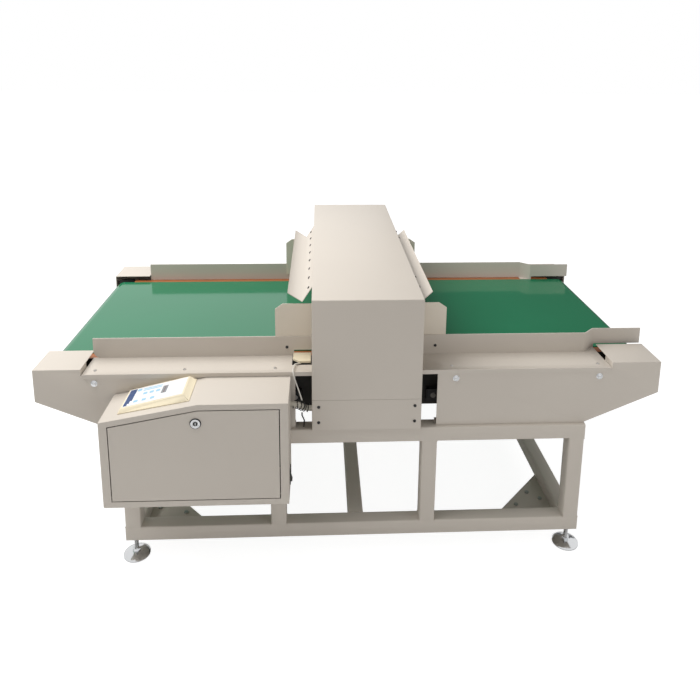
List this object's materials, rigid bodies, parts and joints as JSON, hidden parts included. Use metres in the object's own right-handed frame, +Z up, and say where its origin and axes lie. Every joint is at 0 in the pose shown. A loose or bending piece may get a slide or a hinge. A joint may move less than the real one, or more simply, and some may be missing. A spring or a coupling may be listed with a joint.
{
  "type": "conveyor needle detector",
  "caption": "Conveyor needle detector with a flat green belt through a sensor head, sloped control box, square tube stand, levelling feet and castors.",
  "frame": {"origin": "centre of the footprint, on the floor under the feet", "axes": "+X along the belt to the right as the operator sees it, +Y to the back, +Z up"},
  "size_m": [1.782, 1.2456, 0.805],
  "materials": {
    "white_paint": "satin",
    "cream_paint": "satin",
    "zinc": "satin",
    "stainless": "brushed",
    "chrome": "polished",
    "phenolic": "semi-gloss",
    "belt_green": "glossy",
    "cast_dark": "satin",
    "rubber_dark": "matte",
    "sensor_case": "satin",
    "cream_plastic": "satin",
    "overlay_white": "semi-gloss",
    "board_green": "satin",
    "black_plastic": "semi-gloss",
    "cable_dark": "matte",
    "screw_dark": "satin",
    "nylon": "satin"
  },
  "bodies": {
    "base": {"stand_bottom_rails": "white_paint", "stand_top_rails": "white_paint", "stand_legs": "white_paint", "stand_cross_tubes": "white_paint", "castor_plates": "white_paint", "castor_mounts": "zinc", "castor_bolts": "chrome", "base_tray": "white_paint", "side_plates": "stainless", "bed_cross_members": "stainless", "slide_beds": "phenolic", "conveyor_belt": "belt_green", "roller_bearings": "cast_dark", "belt_tensioners": "chrome", "gear_motor": "cast_dark", "drive_belt": "rubber_dark", "side_cover_front_left": "white_paint", "side_cover_front_right": "white_paint", "side_cover_rear_left": "white_paint", "side_cover_rear_right": "white_paint", "rail_plates_front": "white_paint", "rail_plates_rear": "white_paint", "guide_plates_front": "cream_paint", "guide_plates_rear": "cream_paint", "tunnel_wings": "cream_paint", "tunnel_flaps": "white_paint", "head_hood": "white_paint", "head_lower_panels": "white_paint", "head_posts": "stainless", "upper_sensor": "sensor_case", "lower_sensor": "sensor_case", "control_box": "white_paint", "keypad_housing": "cream_plastic", "keypad_overlay": "overlay_white", "electronics": "board_green", "rocker_switch": "black_plastic", "photocell": "cream_plastic", "cable_loom": "cable_dark", "cover_bolts": "chrome", "small_screws": "screw_dark"},
    "foot_fl": {"levelling_foot_fl": "chrome"},
    "foot_fr": {"levelling_foot_fr": "chrome"},
    "foot_rl": {"levelling_foot_rl": "chrome"},
    "foot_rr": {"levelling_foot_rr": "chrome"},
    "fork_fl": {"castor_fork_fl": "zinc"},
    "wheel_fl": {"castor_wheel_fl": "nylon"},
    "fork_fr": {"castor_fork_fr": "zinc"},
    "wheel_fr": {"castor_wheel_fr": "nylon"},
    "fork_rl": {"castor_fork_rl": "zinc"},
    "wheel_rl": {"castor_wheel_rl": "nylon"},
    "fork_rr": {"castor_fork_rr": "zinc"},
    "wheel_rr": {"castor_wheel_rr": "nylon"},
    "drive_roller": {"drive_roller": "stainless"},
    "tail_roller": {"tail_roller": "stainless"},
    "snub_left": {"snub_roller_left": "stainless"},
    "snub_right": {"snub_roller_right": "stainless"},
    "motor_pulley": {"motor_pulley": "stainless"},
    "door": {"box_door": "white_paint"},
    "lock": {"cam_lock": "chrome"},
    "rocker": {"rocker_key": "black_plastic"}
  },
  "joints": [
    {"name": "foot_fl_screw", "type": "slide", "parent": "base", "child": "foot_fl", "axis": [0, 0, -1], "range_m": [-0.012, 0.02]},
    {"name": "foot_fr_screw", "type": "slide", "parent": "base", "child": "foot_fr", "axis": [0, 0, -1], "range_m": [-0.012, 0.02]},
    {"name": "foot_rl_screw", "type": "slide", "parent": "base", "child": "foot_rl", "axis": [0, 0, -1], "range_m": [-0.012, 0.02]},
    {"name": "foot_rr_screw", "type": "slide", "parent": "base", "child": "foot_rr", "axis": [0, 0, -1], "range_m": [-0.012, 0.02]},
    {"name": "castor_fl_swivel", "type": "hinge", "parent": "base", "child": "fork_fl", "pos_m": [-0.552, -0.3622, 0.04], "axis": [0, 0, 1], "continuous": true},
    {"name": "castor_fl_roll", "type": "hinge", "parent": "fork_fl", "child": "wheel_fl", "pos_m": [-0.53212, -0.39806, 0.023], "axis": [0.8746, 0.4848, 0], "continuous": true},
    {"name": "castor_fr_swivel", "type": "hinge", "parent": "base", "child": "fork_fr", "pos_m": [0.569, -0.3622, 0.04], "axis": [0, 0, 1], "continuous": true},
    {"name": "castor_fr_roll", "type": "hinge", "parent": "fork_fr", "child": "wheel_fr", "pos_m": [0.58888, -0.39806, 0.023], "axis": [0.8746, 0.4848, 0], "continuous": true},
    {"name": "castor_rl_swivel", "type": "hinge", "parent": "base", "child": "fork_rl", "pos_m": [-0.552, 0.2938, 0.04], "axis": [0, 0, 1], "continuous": true},
    {"name": "castor_rl_roll", "type": "hinge", "parent": "fork_rl", "child": "wheel_rl", "pos_m": [-0.53212, 0.25794, 0.023], "axis": [0.8746, 0.4848, 0], "continuous": true},
    {"name": "castor_rr_swivel", "type": "hinge", "parent": "base", "child": "fork_rr", "pos_m": [0.569, 0.2938, 0.04], "axis": [0, 0, 1], "continuous": true},
    {"name": "castor_rr_roll", "type": "hinge", "parent": "fork_rr", "child": "wheel_rr", "pos_m": [0.58888, 0.25794, 0.023], "axis": [0.8746, 0.4848, 0], "continuous": true},
    {"name": "drive_roller_spin", "type": "hinge", "parent": "base", "child": "drive_roller", "pos_m": [0.8516, -0.0342, 0.5502], "axis": [0, 1, 0], "continuous": true},
    {"name": "tail_roller_spin", "type": "hinge", "parent": "base", "child": "tail_roller", "pos_m": [-0.8516, -0.0342, 0.5502], "axis": [0, 1, 0], "continuous": true},
    {"name": "snub_left_spin", "type": "hinge", "parent": "base", "child": "snub_left", "pos_m": [-0.17, -0.0342, 0.4548], "axis": [0, 1, 0], "continuous": true},
    {"name": "snub_right_spin", "type": "hinge", "parent": "base", "child": "snub_right", "pos_m": [0.246, -0.0342, 0.4548], "axis": [0, 1, 0], "continuous": true},
    {"name": "motor_pulley_spin", "type": "hinge", "parent": "base", "child": "motor_pulley", "pos_m": [0.6016, -0.0342, 0.5282], "axis": [0, 1, 0], "continuous": true},
    {"name": "door_hinge", "type": "hinge", "parent": "base", "child": "door", "pos_m": [-0.424, -0.6142, 0.306], "axis": [1, 0, 0], "range_deg": [0, 100]},
    {"name": "lock_turn", "type": "hinge", "parent": "door", "child": "lock", "pos_m": [-0.419, -0.6192, 0.5205], "axis": [0, 1, 0], "range_deg": [0, 90]},
    {"name": "rocker_tilt", "type": "hinge", "parent": "base", "child": "rocker", "pos_m": [-0.179, -0.5642, 0.3265], "axis": [0, 1, 0], "range_deg": [0, 16]}
  ],
  "couplings": [
    {"joint": "tail_roller_spin", "follows": "drive_roller_spin", "ratio": 1},
    {"joint": "snub_left_spin", "follows": "drive_roller_spin", "ratio": 1.5},
    {"joint": "snub_right_spin", "follows": "drive_roller_spin", "ratio": 1.5},
    {"joint": "motor_pulley_spin", "follows": "drive_roller_spin", "ratio": 1.5}
  ]
}
